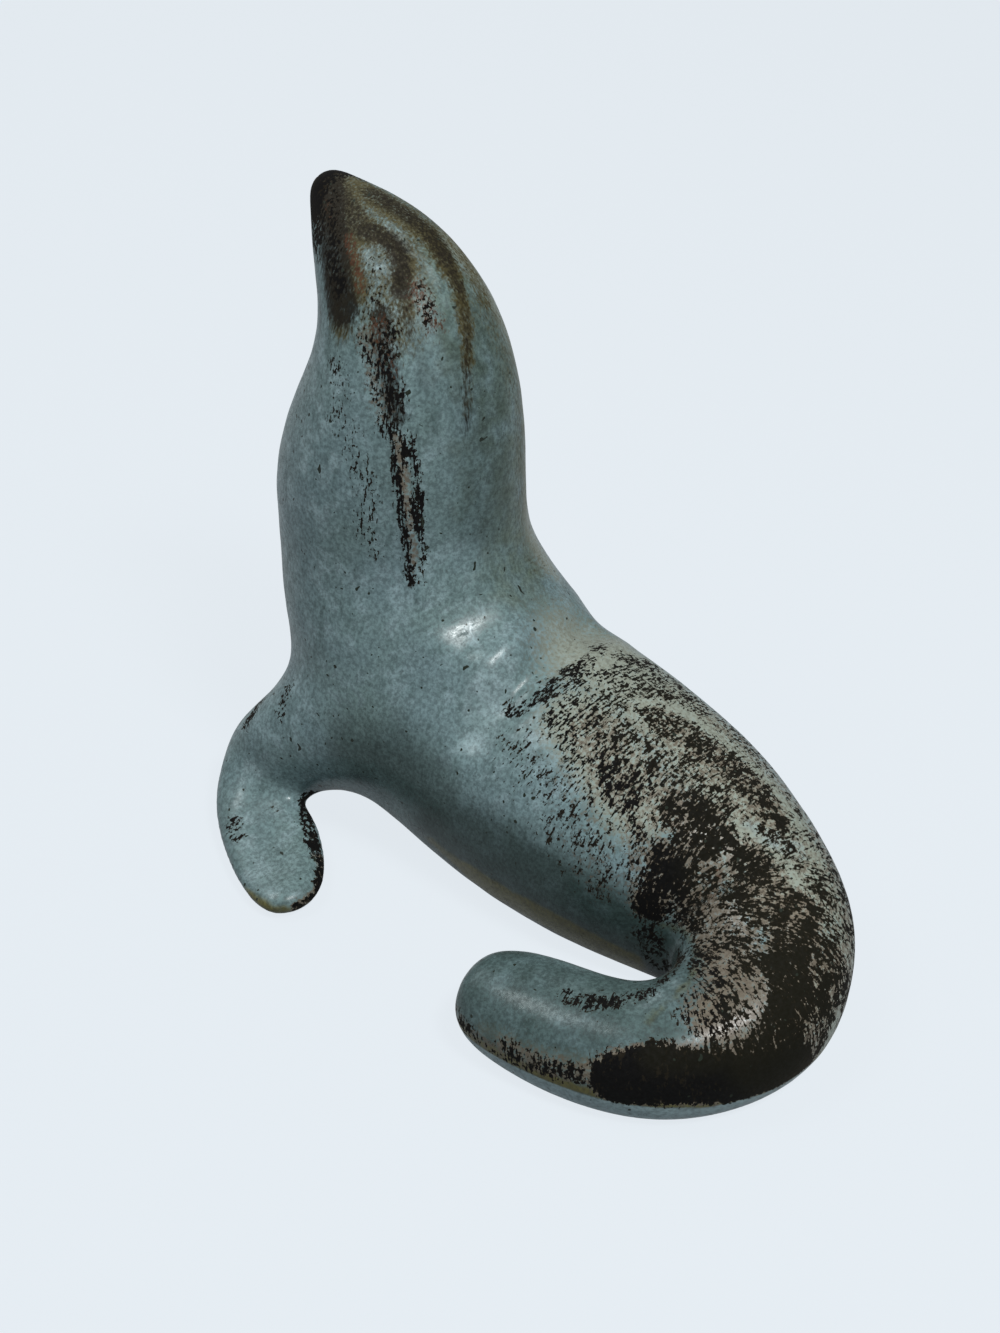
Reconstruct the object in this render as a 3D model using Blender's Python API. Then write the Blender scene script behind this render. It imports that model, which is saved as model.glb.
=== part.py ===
"""A stoneware seal sitting up with its snout raised and its tail curled round to its left.

One fired piece. The seal faces -Y and its left side is +X. It stands on the plane z = 0, with the
middle of its bounding box over the origin. The skin is a cage of rings along the spine, from the
snout to the tail, with a fore flipper grown from each side of the chest, all rounded by subdivision.
Sizes are millimetres, and MM turns them to metres where the mesh is made.
"""

import math
from collections import namedtuple

import bmesh
import bpy
from mathutils import Matrix, Vector

MM = 0.001

# Head and neck: heights above the table, reach forward from the nape
SNOUT_HEIGHT = 209.0
NAPE_HEIGHT = 141.0
NECK_FOOT_HEIGHT = 98.0
SNOUT_REACH = 33.0
NECK_WIDTH = 80.0
NECK_DEPTH = 81.0
NAPE_LEAN = 3.0

# Chest: a quarter turn from the upright neck to the level trunk
CHEST_RUN = 85.0
SHOULDER_WIDTH = 92.0
SHOULDER_SWELL = 12.0
FAN_RUN = 94.0
FAN_HEIGHT = 105.0

# Trunk and rump, lying on the table
TRUNK_WIDTH = 90.0
TRUNK_HEIGHT = 78.0
TRUNK_LENGTH = 51.0
RUMP_WIDTH = 71.0
RUMP_HEIGHT = 62.0
RUMP_SHIFT = 1.0

# Curl and tail
CURL_RADIUS = 35.5
TAIL_WIDTH = 38.0
TAIL_HEIGHT = 31.0
TAIL_LENGTH = 45.0

# Fore flippers: where the leg leaves the chest, and where the tip lies
LEG_OUT = 42.0
LEG_FORWARD = 18.0
LEG_HEIGHT = 21.0
LEG_WIDTH = 40.0
LEG_DEPTH = 39.0
TIP_OUT = 85.0
TIP_BACK = 30.0
TIP_HEIGHT = 5.0
PADDLE_WIDTH = 33.0
PADDLE_THICKNESS = 12.0

# Fullness of a ring's underside: 2 is round, more is squarer
ROUND = 2.0
RESTING = 3.8

# How far a resting ring dips below the table, as a share of its height, for the base cut to take
DIP = 0.04

# Powers: how late the chest's underside squares off, and how soon the curl sinks to the tail's height
SQUARING = 4
SINKING = 1.9

CURL_ANGLE = 168.0
SPINE_POINTS = 12
FLIPPER_POINTS = 8
SMOOTHING_LEVELS = 2
SHARP_ANGLE = 50.0

# Name, shares of the head's height and reach, shares of the neck's width and depth, pitch
HEAD_RINGS = (
    ("nose", 1.00, 1.00, 0.10, 0.10, -46),
    ("snout", 0.93, 0.85, 0.21, 0.20, -46),
    ("muzzle", 0.80, 0.48, 0.44, 0.41, -50),
    ("cheeks", 0.61, 0.07, 0.61, 0.59, -62),
    ("crown", 0.33, -0.09, 0.77, 0.77, -78),
    ("nape", 0.00, 0.00, 0.92, 0.93, -90),
)

# Name, share of the way up the neck, pitch
NECK_RINGS = (("neck", 0.5, -92), ("neck_foot", 0.0, -88))

# Name and angle round the chest's quarter turn
CHEST_RINGS = (("chest_top", 17), ("chest", 31), ("brisket", 46), ("withers", 60), ("loin", 75))

# Name, share of the trunk's length, pitch
TRUNK_RINGS = (("trunk", 0.0, -8), ("flank", 0.5, -2), ("rump", 1.0, 0))

# Name and share of the curl's angle
CURL_RINGS = (("curl_a", 0.26), ("curl_b", 0.53), ("curl_c", 0.80), ("tail_root", 1.0))

# Name, share of the tail's length, share of its section, fullness
TAIL_RINGS = (("tail", 0.48, 0.97, 3.2), ("tail_end", 0.84, 0.84, 2.6), ("tail_tip", 1.0, 0.44, 2.3))

# Name, shares of the way out, back and down, from leg to paddle, of the section, pitch and turn
FLIPPER_RINGS = (
    ("leg", 0.00, 0.00, 0.00, 0.00, 1.00, -44, 112),
    ("wrist", 0.19, -0.07, 0.45, 0.50, 1.00, -38, 95),
    ("palm", 0.40, 0.09, 0.82, 0.82, 1.00, -18, 52),
    ("paddle", 0.64, 0.49, 0.97, 1.00, 1.00, -4, 33),
    ("paddle_end", 0.86, 0.82, 1.00, 1.00, 0.82, 0, 28),
    ("paddle_tip", 1.00, 1.00, 1.00, 1.00, 0.40, 0, 25),
)

# The flipper grows from the middle of these rings, round these points of theirs
HOLE_RINGS = ("chest", "brisket", "withers")
LEFT_HOLE_POINTS = (0, 11, 10)
RIGHT_HOLE_POINTS = (6, 7, 8)

GLAZE_COLOUR = (0.102, 0.136, 0.144, 1.0)
GLAZE_ROUGHNESS = 0.38

Ring = namedtuple("Ring", "name centre width depth pitch turn fullness")


def blend(start, end, share):
    return start + (end - start) * share


def resting_height(depth):
    """The centre height of a ring that lies on the table."""
    return depth * (0.5 - DIP)


def head_and_neck_rings():
    rings = []
    for name, up, forward, width, depth, pitch in HEAD_RINGS:
        height = blend(NAPE_HEIGHT, SNOUT_HEIGHT, up)
        centre = Vector((0, NAPE_LEAN - forward * SNOUT_REACH, height))
        rings.append(Ring(name, centre, width * NECK_WIDTH, depth * NECK_DEPTH, pitch, 0, ROUND))
    for name, up, pitch in NECK_RINGS:
        centre = Vector((0, 0, blend(NECK_FOOT_HEIGHT, NAPE_HEIGHT, up)))
        rings.append(Ring(name, centre, NECK_WIDTH, NECK_DEPTH, pitch, 0, ROUND))
    return rings


def chest_rings():
    """Rings down a quarter ellipse, each facing one line behind the nape, so that they fan out."""
    trunk_start = trunk_centre(0)
    drop = NECK_FOOT_HEIGHT - trunk_start.z
    rings = []
    for name, angle in CHEST_RINGS:
        turned = math.radians(angle)
        run = CHEST_RUN * (1 - math.cos(turned))
        centre = Vector((0, run, NECK_FOOT_HEIGHT - drop * math.sin(turned)))
        pitch = -math.degrees(math.atan2(FAN_RUN - run, FAN_HEIGHT - centre.z))
        rise = math.sin(2 * turned)
        width = blend(blend(NECK_WIDTH, TRUNK_WIDTH, angle / 90), SHOULDER_WIDTH, rise)
        depth = blend(NECK_DEPTH, TRUNK_HEIGHT, angle / 90) + SHOULDER_SWELL * rise
        fullness = blend(ROUND, RESTING, math.sin(turned) ** SQUARING)
        rings.append(Ring(name, centre, width, depth, pitch, 0, fullness))
    return rings


def trunk_centre(share):
    """A point on the trunk's middle line, from the chest (0) to the rump (1)."""
    height = blend(TRUNK_HEIGHT, RUMP_HEIGHT, share)
    back = CHEST_RUN + TRUNK_LENGTH * share
    return Vector((-RUMP_SHIFT * share, back, resting_height(height)))


def trunk_rings():
    rings = []
    for name, share, pitch in TRUNK_RINGS:
        width = blend(TRUNK_WIDTH, RUMP_WIDTH, share ** 2)
        height = blend(TRUNK_HEIGHT, RUMP_HEIGHT, share)
        rings.append(Ring(name, trunk_centre(share), width, height, pitch, 0, RESTING))
    return rings


def curl_rings():
    """Rings round the curl, which narrows evenly and sinks quickly to the tail's height."""
    middle = trunk_centre(1) + Vector((CURL_RADIUS, 0, 0))
    rings = []
    for name, share in CURL_RINGS:
        angle = math.radians(CURL_ANGLE * share)
        height = blend(TAIL_HEIGHT, RUMP_HEIGHT, (1 - share) ** SINKING)
        width = blend(RUMP_WIDTH, TAIL_WIDTH, share)
        left = middle.x - CURL_RADIUS * math.cos(angle)
        back = middle.y + CURL_RADIUS * math.sin(angle)
        centre = Vector((left, back, resting_height(height)))
        rings.append(Ring(name, centre, width, height, 0, CURL_ANGLE * share, RESTING))
    return rings


def tail_rings(root):
    """Rings straight on from the curl, closing in a blunt end."""
    turn = math.radians(CURL_ANGLE)
    ahead = Vector((math.sin(turn), math.cos(turn), 0))
    rings = []
    for name, share, size, fullness in TAIL_RINGS:
        centre = root.centre + ahead * TAIL_LENGTH * share
        rings.append(Ring(name, centre, TAIL_WIDTH * size, TAIL_HEIGHT * size, 0, CURL_ANGLE, fullness))
    return rings


def flipper_rings():
    """Rings of the left flipper, out and down from the chest, then back along the table."""
    rings = []
    for name, out, back, down, flat, size, pitch, turn in FLIPPER_RINGS:
        centre = Vector((
            blend(LEG_OUT, TIP_OUT, out),
            blend(-LEG_FORWARD, TIP_BACK, back),
            blend(LEG_HEIGHT, TIP_HEIGHT, down),
        ))
        width = size * blend(LEG_WIDTH, PADDLE_WIDTH, flat)
        depth = math.sqrt(size) * blend(LEG_DEPTH, PADDLE_THICKNESS, flat)
        rings.append(Ring(name, centre, width, depth, pitch, turn, ROUND))
    return rings


def ring_points(ring, count, start=0.0, direction=1):
    """Cage points of a ring, made larger by what the subdivision takes off a round section."""
    pitch, turn = math.radians(ring.pitch), math.radians(ring.turn)
    along = Vector((math.sin(turn) * math.cos(pitch), math.cos(turn) * math.cos(pitch), math.sin(pitch)))
    left = Vector((math.cos(turn), -math.sin(turn), 0))
    top = left.cross(along)
    grow = 1.5 / (2 + math.cos(2 * math.pi / count))
    points = []
    for k in range(count):
        angle = start + direction * 2 * math.pi * k / count
        across, up = math.cos(angle), math.sin(angle)
        if up < -0.01:
            across = math.copysign(abs(across) ** (2 / ring.fullness), across)
            up = -abs(up) ** (2 / ring.fullness)
        points.append(ring.centre + left * (across * ring.width * grow) + top * (up * ring.depth * grow))
    return points


def join_loops(bm, first, second):
    for k in range(len(first)):
        n = (k + 1) % len(first)
        bm.faces.new((first[k], first[n], second[n], second[k]))


def add_flipper(bm, loops, hole_points, side):
    """Opens the chest between its rings and grows a flipper from the hole; side is 1 or -1."""
    grid = [[loops[name][k] for k in hole_points] for name in HOLE_RINGS]
    bm.verts.remove(grid[1][1])
    edge = [*grid[0], grid[1][2], *reversed(grid[2]), grid[1][0]]
    for ring in flipper_rings():
        points = ring_points(ring, FLIPPER_POINTS, math.pi / 2, -1)
        loop = [bm.verts.new(Vector((side * p.x, p.y, p.z)) * MM) for p in points]
        join_loops(bm, edge, loop)
        edge = loop
    bm.faces.new(edge)


def build_cage():
    """The low cage of the whole seal, as an object that a subdivision modifier rounds."""
    spine = head_and_neck_rings() + chest_rings() + trunk_rings() + curl_rings()
    spine += tail_rings(spine[-1])
    bm = bmesh.new()
    loops = {ring.name: [bm.verts.new(p * MM) for p in ring_points(ring, SPINE_POINTS)] for ring in spine}
    order = list(loops.values())
    for first, second in zip(order, order[1:]):
        join_loops(bm, first, second)
    bm.faces.new(order[0])
    bm.faces.new(order[-1])
    add_flipper(bm, loops, LEFT_HOLE_POINTS, 1)
    add_flipper(bm, loops, RIGHT_HOLE_POINTS, -1)
    bmesh.ops.recalc_face_normals(bm, faces=bm.faces)
    mesh = bpy.data.meshes.new("seal_cage")
    bm.to_mesh(mesh)
    bm.free()
    cage = bpy.data.objects.new("seal_cage", mesh)
    bpy.context.scene.collection.objects.link(cage)
    smoothing = cage.modifiers.new("smoothing", "SUBSURF")
    smoothing.levels = SMOOTHING_LEVELS
    smoothing.render_levels = SMOOTHING_LEVELS
    return cage


def add_table_slab(cage):
    """A block below z = 0 that flattens whatever the cage dips under the table."""
    size = 4 * max(cage.dimensions)
    bm = bmesh.new()
    bmesh.ops.create_cube(bm, size=size, matrix=Matrix.Translation((0, 0, -size / 2)))
    mesh = bpy.data.meshes.new("table_slab")
    bm.to_mesh(mesh)
    bm.free()
    slab = bpy.data.objects.new("table_slab", mesh)
    slab.hide_render = True
    slab.display_type = "WIRE"
    bpy.context.scene.collection.objects.link(slab)
    cut = cage.modifiers.new("flat_base", "BOOLEAN")
    cut.operation = "DIFFERENCE"
    cut.solver = "EXACT"
    cut.object = slab
    return slab


def glaze_material():
    material = bpy.data.materials.new("glazed_stoneware")
    material.use_nodes = True
    shader = material.node_tree.nodes["Principled BSDF"]
    shader.inputs["Base Color"].default_value = GLAZE_COLOUR
    shader.inputs["Roughness"].default_value = GLAZE_ROUGHNESS
    shader.inputs["Metallic"].default_value = 0.0
    return material


def finish_seal(cage, slab):
    """Keeps the rounded, flat-based surface as one mesh with its box centred on the origin."""
    graph = bpy.context.evaluated_depsgraph_get()
    mesh = bpy.data.meshes.new_from_object(cage.evaluated_get(graph), depsgraph=graph)
    xs = [v.co.x for v in mesh.vertices]
    ys = [v.co.y for v in mesh.vertices]
    middle = Vector(((min(xs) + max(xs)) / 2, (min(ys) + max(ys)) / 2, 0))
    mesh.transform(Matrix.Translation(-middle))
    mesh.shade_smooth()
    mesh.set_sharp_from_angle(angle=math.radians(SHARP_ANGLE))
    mesh.materials.clear()
    mesh.materials.append(glaze_material())
    mesh.name = "seal"
    seal = bpy.data.objects.new("seal", mesh)
    bpy.context.scene.collection.objects.link(seal)
    bpy.data.objects.remove(cage)
    bpy.data.objects.remove(slab)
    return seal


def main():
    for old in list(bpy.data.objects):
        bpy.data.objects.remove(old)
    cage = build_cage()
    slab = add_table_slab(cage)
    finish_seal(cage, slab)


main()
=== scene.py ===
# %% [markdown]
# # A stoneware seal
#
# A small seal, hand-finished in stoneware and fired with a satin blue-grey glaze. It is one piece of
# clay, so the scene has one object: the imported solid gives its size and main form, and this lesson
# adds what the potter's fingers and the kiln left on it. Lengths are millimetres until they meet
# Blender, which works in metres.

import math

import bmesh
import bpy
import numpy as np
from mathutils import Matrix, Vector, noise


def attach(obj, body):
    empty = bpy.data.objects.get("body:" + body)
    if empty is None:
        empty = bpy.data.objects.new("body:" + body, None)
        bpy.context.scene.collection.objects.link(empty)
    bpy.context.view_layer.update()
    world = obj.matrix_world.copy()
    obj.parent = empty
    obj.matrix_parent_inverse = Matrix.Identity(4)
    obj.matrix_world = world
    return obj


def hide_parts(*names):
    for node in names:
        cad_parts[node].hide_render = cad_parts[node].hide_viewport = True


MM = 0.001

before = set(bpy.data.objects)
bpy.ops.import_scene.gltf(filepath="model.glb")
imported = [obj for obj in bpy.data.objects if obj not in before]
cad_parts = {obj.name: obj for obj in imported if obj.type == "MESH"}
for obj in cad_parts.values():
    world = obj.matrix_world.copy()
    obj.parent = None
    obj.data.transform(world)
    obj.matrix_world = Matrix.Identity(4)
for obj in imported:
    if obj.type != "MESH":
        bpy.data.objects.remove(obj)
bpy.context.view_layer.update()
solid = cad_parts["seal"]
print("solid:", len(solid.data.polygons), "triangles")

# %% [markdown]
# ## The camera
#
# The photograph looks down on the seal from behind, on its left side. The camera is a little over
# half a metre away, so the near parts look larger than the far ones. It can be dragged into place by
# eye, but then nobody can read where it stands. Here a bearing, a rise and a distance place it, round
# a point inside the shoulders, and it comes first, so that each later step can be judged from there.

# %% Camera
CAMERA_TURN = 48.0
CAMERA_RISE = 35.0
CAMERA_REACH = 578.0
CAMERA_LENS = 50.0
CAMERA_SENSOR = 36.0
AIM = Vector((13.7, -20.4, 75.0))


def bearing(turn_deg, rise_deg):
    """The way from the seal to a place behind it, turned to its left and raised, in degrees."""
    turn, rise = math.radians(turn_deg), math.radians(rise_deg)
    return Vector((math.sin(turn) * math.cos(rise), math.cos(turn) * math.cos(rise), math.sin(rise)))


away = bearing(CAMERA_TURN, CAMERA_RISE)
camera = bpy.data.objects.new("camera", bpy.data.cameras.new("camera"))
bpy.context.scene.collection.objects.link(camera)
camera.data.lens = CAMERA_LENS
camera.data.sensor_width = CAMERA_SENSOR
camera.location = (AIM + away * CAMERA_REACH) * MM
camera.rotation_euler = (-away).to_track_quat("-Z", "Y").to_euler()
bpy.context.scene.camera = camera
print("camera stands at", [round(c, 3) for c in camera.location])

# %% [markdown]
# ## The skin
#
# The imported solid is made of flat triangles, and wet clay has no flats. The skin could be sculpted
# afresh, but then it would drift from the solid, so the solid itself is rounded by one more
# subdivision and cut again into even faces a little over a millimetre wide. Even faces matter for
# what comes next: every vertex can be pushed as a fingertip would push it, and can carry how the
# glaze lies there. A few rounds of smoothing take away the stepping of the cut, and roll the sharp
# foot over, as a damp sponge does before firing.

# %% Even skin
SKIN_FACE = 1.3
SPONGE_ROUNDS = 9
WELD = 0.01
FLAT_WITHIN = math.radians(40)
SQUARE_WITHIN = math.radians(50)

skin = bpy.data.objects.new("seal_skin", solid.data.copy())
bpy.context.scene.collection.objects.link(skin)
bm = bmesh.new()
bm.from_mesh(skin.data)
bmesh.ops.remove_doubles(bm, verts=bm.verts, dist=WELD * MM)
bmesh.ops.join_triangles(
    bm, faces=bm.faces, angle_face_threshold=FLAT_WITHIN, angle_shape_threshold=SQUARE_WITHIN
)
bm.to_mesh(skin.data)
bm.free()

round_off = skin.modifiers.new("round_off", "SUBSURF")
round_off.levels = round_off.render_levels = 1
recut = skin.modifiers.new("recut", "REMESH")
recut.mode = "VOXEL"
recut.voxel_size = SKIN_FACE * MM
sponge = skin.modifiers.new("sponge", "SMOOTH")
sponge.factor = 0.5
sponge.iterations = SPONGE_ROUNDS

graph = bpy.context.evaluated_depsgraph_get()
even = bpy.data.meshes.new_from_object(skin.evaluated_get(graph), depsgraph=graph)
skin.modifiers.clear()
skin.data = even
even.name = "seal_skin"
even.materials.clear()
even.shade_smooth()
print("skin:", len(even.vertices), "vertices", len(even.polygons), "faces")

# %% [markdown]
# ## Reading the surface as numbers
#
# Both the shaping and the glazing ask one question of every vertex: how far is it from a line drawn
# on the seal? A sculpting brush or a painted picture could answer it, but neither can be read or
# changed later, so the lines are short lists of places and two helpers do the work. One gives the
# distance to a line, and how far along the line the nearest place is. The other turns a distance
# into a soft-edged weight, from 1 on the line to 0 at the brush's edge.

# %% Brush helpers
points = np.empty(len(even.vertices) * 3)
even.vertices.foreach_get("co", points)
points = points.reshape(-1, 3) / MM


def near_line(line, where):
    """Distance from each point to a line of points, and the length along it of the nearest place."""
    line = np.array(line, float)
    if len(line) == 1:
        return np.linalg.norm(where - line[0], axis=1), np.zeros(len(where))
    best = np.full(len(where), 1e9)
    along = np.zeros(len(where))
    done = 0.0
    for start, end in zip(line, line[1:]):
        step = end - start
        length = np.linalg.norm(step)
        share = np.clip((where - start) @ step / length**2, 0, 1)
        distance = np.linalg.norm(where - start - share[:, None] * step, axis=1)
        closer = distance < best
        best[closer] = distance[closer]
        along[closer] = done + share[closer] * length
        done += length
    return best, along


def soft(value, low, high):
    """0 at low, 1 at high, with no corner at either."""
    share = np.clip((value - low) / (high - low), 0, 1)
    return share * share * (3 - 2 * share)


def brush(line, radius, where, core=0.0):
    """Weight 1 within core of the line, falling to 0 at radius."""
    return 1 - soft(near_line(line, where)[0], core, radius)


def mirrored(line):
    """The same line on the seal's other side."""
    return [(-x, y, z) for x, y, z in line]


def outward():
    """The way each vertex faces."""
    facing = np.empty(len(even.vertices) * 3)
    even.vertex_normals.foreach_get("vector", facing)
    return facing.reshape(-1, 3)


def put_back(moved):
    """Gives the vertices their new places."""
    even.vertices.foreach_set("co", (moved * MM).ravel())
    even.update()


print("height", round(points[:, 2].max(), 1), "mm")

# %% [markdown]
# ## What the fingers did
#
# Clay keeps the marks of its making. A soft hump was left where the neck meets the shoulders, and a
# thumb drew a saddle across the back behind it. The top of each flipper is dished, a low ridge runs
# down the neck, and nothing is quite even. Sculpting by hand would give the same marks, but as
# numbers they can be checked against the photograph one by one. Each is a line, a brush radius, a
# core that moves as one, and a height: positive adds clay and negative presses it in. The foot
# doesn't move, because it has to stay flat.

# %% Finger marks
NECK_RIDGE = [(23, -60, 178), (24, -54, 168), (24, -51, 161), (25, -49, 150), (26, -47, 138),
              (26, -46, 125), (25, -45, 112), (25, -43, 98)]
SHOULDER_HUMP = [(19, -33, 89), (15, -27, 86)]
SADDLE_LIP = [(22, -18, 78), (12, -17, 81)]
SADDLE = [(-24, -13, 77), (-7, -9, 80), (5, -8, 81), (14, -8, 79), (22, -8, 75), (29, -10, 71),
          (35, -12, 64)]
HUMP_CREST = [(18, -31, 90), (17, -29, 89)]
SADDLE_END = [(-38, -24, 62), (-31, -18, 71), (-20, -12, 78)]
FLIPPER_DISH = [(64, -82, 15), (70, -72, 12), (77, -62, 9)]

MARKS = [
    (NECK_RIDGE, 5.0, 0.0, 1.0),
    (SHOULDER_HUMP, 27.0, 8.0, 3.2),
    (HUMP_CREST, 14.0, 0.0, -0.85),
    (SADDLE_LIP, 10.0, 2.0, 1.4),
    (SADDLE, 11.0, 0.0, -2.9),
    (SADDLE_END, 14.0, 0.0, -1.4),
    (FLIPPER_DISH, 12.0, 2.0, -1.8),
    (mirrored(FLIPPER_DISH), 12.0, 2.0, -1.8),
]
# two sizes of unevenness, each a width and a height
UNEVEN = [(26.0, 0.35), (7.0, 0.10)]
FOOT_STILL, FOOT_FREE = 0.5, 8.0

facing = outward()
lift = np.zeros(len(points))
for line, radius, core, height in MARKS:
    lift += height * brush(line, radius, points, core)
for k, p in enumerate(points):
    lift[k] += sum(height * noise.noise(Vector(p) / width) for width, height in UNEVEN)
lift *= soft(points[:, 2], FOOT_STILL, FOOT_FREE)
points = points + facing * lift[:, None]
put_back(points)
print("clay moved by up to", round(float(np.abs(lift).max()), 2), "mm")

# %% [markdown]
# ## Where the glaze lies
#
# The glaze was poured blue-grey over a dark iron slip. It ran thin along the back, the bend and the
# snout, so the iron broke through there in fine black-brown flecks, and where it missed altogether
# the pinkish clay shows. Near the foot it pooled into an olive edge. A picture wrapped round the seal
# could hold all this. A weight per vertex does it without one, puts each thing on the right part of
# the seal from every side, and leaves it to the shader how a weight looks close up.
#
# Some weights are measured, not drawn. The length along the spine lets streaks run across the body,
# as glaze runs down a rounded back, and the upright part is where they hang down the neck instead.

# %% Length along the spine
SPINE = [(0, -105, 208), (0, -88, 190), (0, -72, 141), (0, -75, 98), (0, -62, 74), (0, -35, 52),
         (0, 10, 36), (-1, 61, 28)]
BEND_CENTRE = (34.5, 61.0)
BEND_RADIUS = 35.5
BEND_HEIGHT = 20.0
BEND_STEP = 24
TAIL_TIP = (79, 20, 15)
for angle in np.radians(range(BEND_STEP, 180, BEND_STEP)):
    SPINE.append((BEND_CENTRE[0] - BEND_RADIUS * math.cos(angle),
                  BEND_CENTRE[1] + BEND_RADIUS * math.sin(angle), BEND_HEIGHT))
SPINE.append(TAIL_TIP)
spine_length = near_line(SPINE, points)[1]
print("spine is", round(float(spine_length.max())), "mm long")


# %% Paint helper
def paint(name, strokes, also=0.0, but_not=0.0):
    """Stores a weight per vertex, from strokes of (line, radius, core, strength).

    also is a weight to start from, and but_not is a share to take away.
    """
    weight = np.zeros(len(points)) + also
    for line, radius, core, strength in strokes:
        weight = np.maximum(weight, brush(line, radius, points, core) * strength)
    weight = weight * (1 - but_not)
    layer = even.attributes.new(name, "FLOAT", "POINT")
    layer.data.foreach_set("value", weight.astype(np.float32))
    print(name, "covers", round(100 * float((weight > 0.3).mean()), 1), "% of the skin")
    return weight


# %% [markdown]
# ## The pale rim of the foot
#
# The iron stops short of the foot round the rump and the tail, so a rim of plain pale glaze runs
# there, lower behind and higher under the tail, with an olive line above it. It could be drawn point
# by point. It is measured instead, from the height over the table and the length along the spine,
# because that keeps it level.

# %% Measured weights
NECK_ENDS = (125.0, 165.0)
RUMP_STARTS = (300.0, 330.0)
TAIL_STARTS = (330.0, 375.0)
TRUNK_SIDE = (-10.0, 0.0)
RIM_BEHIND = 7.0
RIM_RISE = 3.5
RIM_EDGE = (-0.8, 0.6)
RIM_LINE_ENDS = (1.0, 5.0)

paint("along_spine", [], also=spine_length * MM)
paint("upright", [], also=1 - soft(spine_length, *NECK_ENDS))
past_rump = soft(spine_length, *RUMP_STARTS) * soft(points[:, 1], *TRUNK_SIDE)
rim_top = RIM_BEHIND + RIM_RISE * soft(spine_length, *TAIL_STARTS)
above_rim = points[:, 2] - rim_top
foot_rim = past_rump * (1 - soft(above_rim, *RIM_EDGE))
rim_line = past_rump * soft(above_rim, *RIM_EDGE) * (1 - soft(above_rim, *RIM_LINE_ENDS))
print("pale rim, lowest and highest, mm:", round(float(rim_top.min()), 1), round(float(rim_top.max()), 1))

# %% [markdown]
# ## The stripe down the neck
#
# Along the neck's ridge the slip breaks through in a dark streaked patch, and below that in two
# ragged edges with a line of bare clay between them. One wide stroke would give a plain band. So
# each edge is a thin stroke of its own, the clay keeps the iron off its line, and a scatter of lone
# flecks runs beside it.

# %% Iron down the neck
BARE_LINE = [(26, -50, 150), (26, -48, 140), (26, -47, 130), (25, -46, 118), (25, -45, 103)]
BARE_KEEPS_OFF = 0.85
bare = brush(BARE_LINE, 1.8, points, 0.3)

NECK_IRON = [
    ([(21, -57, 179), (23, -57, 173), (24, -55, 166)], 5.5, 0.8, 0.62),
    ([(24, -55, 168), (24, -52, 162), (26, -52, 156), (26, -50, 150)], 4.6, 1.2, 0.84),
    ([(24, -63, 177), (26, -59, 170), (27, -56, 161), (27, -52, 151)], 5.0, 0.6, 0.46),
    ([(28, -50, 148), (28, -48, 133), (28, -47, 124), (28, -46, 112), (27, -45, 102)], 2.5, 0.7, 0.74),
    ([(23, -48, 150), (23, -46, 142), (23, -45, 129), (23, -44, 113), (24, -44, 101)], 2.5, 0.7, 0.74),
    ([(24, -45, 130), (24, -45, 121)], 3.4, 1.4, 0.95),
    ([(26, -48, 146), (26, -48, 143)], 3.0, 1.2, 0.80),
    ([(25, -43, 101), (24, -41, 96)], 3.8, 0.8, 0.60),
    ([(29, -71, 167), (31, -68, 159), (33, -68, 152), (33, -63, 148), (34, -60, 139)], 5.5, 1, 0.25),
    ([(33, -58, 136), (33, -56, 129), (34, -58, 122), (33, -55, 113)], 5.0, 1, 0.22),
]
print(len(NECK_IRON), "strokes of iron on the neck")

# %% [markdown]
# ## The back, the bend and the tail
#
# Glaze runs off whatever stands highest, so the iron shows most along the back, goes almost black
# over the rump and round the outside of the bend, and edges the tail. One even weight would look
# sprayed on. Many short strokes of different strength leave it patchy, as the pour left it, and
# each can be set against one patch in the photograph.

# %% Iron over the back
BACK_IRON = [
    # the saddle's broken line of flecks
    ([(4, -1, 77), (-6, 0, 77), (-12, -2, 76), (-19, -7, 76)], 4.4, 1.2, 0.58),
    ([(24, -6, 71), (16, -2, 75), (11, -2, 76)], 5.0, 1.4, 0.68),
    # the back behind it, thickest along the spine
    ([(-2, 8, 76), (-13, 7, 74), (-20, 5, 71)], 7, 1.5, 0.50),
    ([(-2, 16, 74), (-8, 18, 72), (-14, 23, 70)], 7, 2.0, 0.52),
    ([(-16, 10, 73), (-24, 12, 69), (-26, 30, 63), (-27, 50, 56), (-25, 70, 48)], 13, 4, 0.46),
    ([(-4, 29, 69), (-6, 36, 68), (-7, 47, 63), (-10, 55, 61), (-9, 63, 57), (-6, 71, 54)], 11, 4.0, 0.70),
    ([(-1, 45, 64), (-1, 55, 61), (-1, 64, 57)], 10, 4, 0.55),
    ([(-4, 76, 52), (-4, 84, 48), (0, 96, 41), (6, 105, 34)], 9, 4, 0.44),
    ([(13, 19, 70), (17, 26, 68), (20, 33, 64), (22, 38, 60)], 11, 3, 0.63),
    ([(24, 17, 67), (28, 20, 63), (30, 30, 60)], 7, 1, 0.36),
    ([(6, 14, 74), (8, 30, 69), (9, 42, 65)], 20, 9, 0.45),
    ([(19, 10, 71), (21, 17, 69), (22, 24, 66)], 12, 1.5, 0.52),
    ([(14, 38, 64), (17, 46, 61), (20, 50, 58)], 9, 3, 0.58),
    ([(29, 8, 66), (33, 27, 55), (35, 41, 42)], 18, 2, 0.25),
]
print(len(BACK_IRON), "strokes of iron over the back")

# %% [markdown]
# Over the rump the flecks close up into black patches, and a black band goes round the outside of the
# bend and on along the tail. A band of one weight would have a cut edge. So strokes with a wide solid
# heart are laid over soft ones, and the edge breaks up between them.

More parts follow.
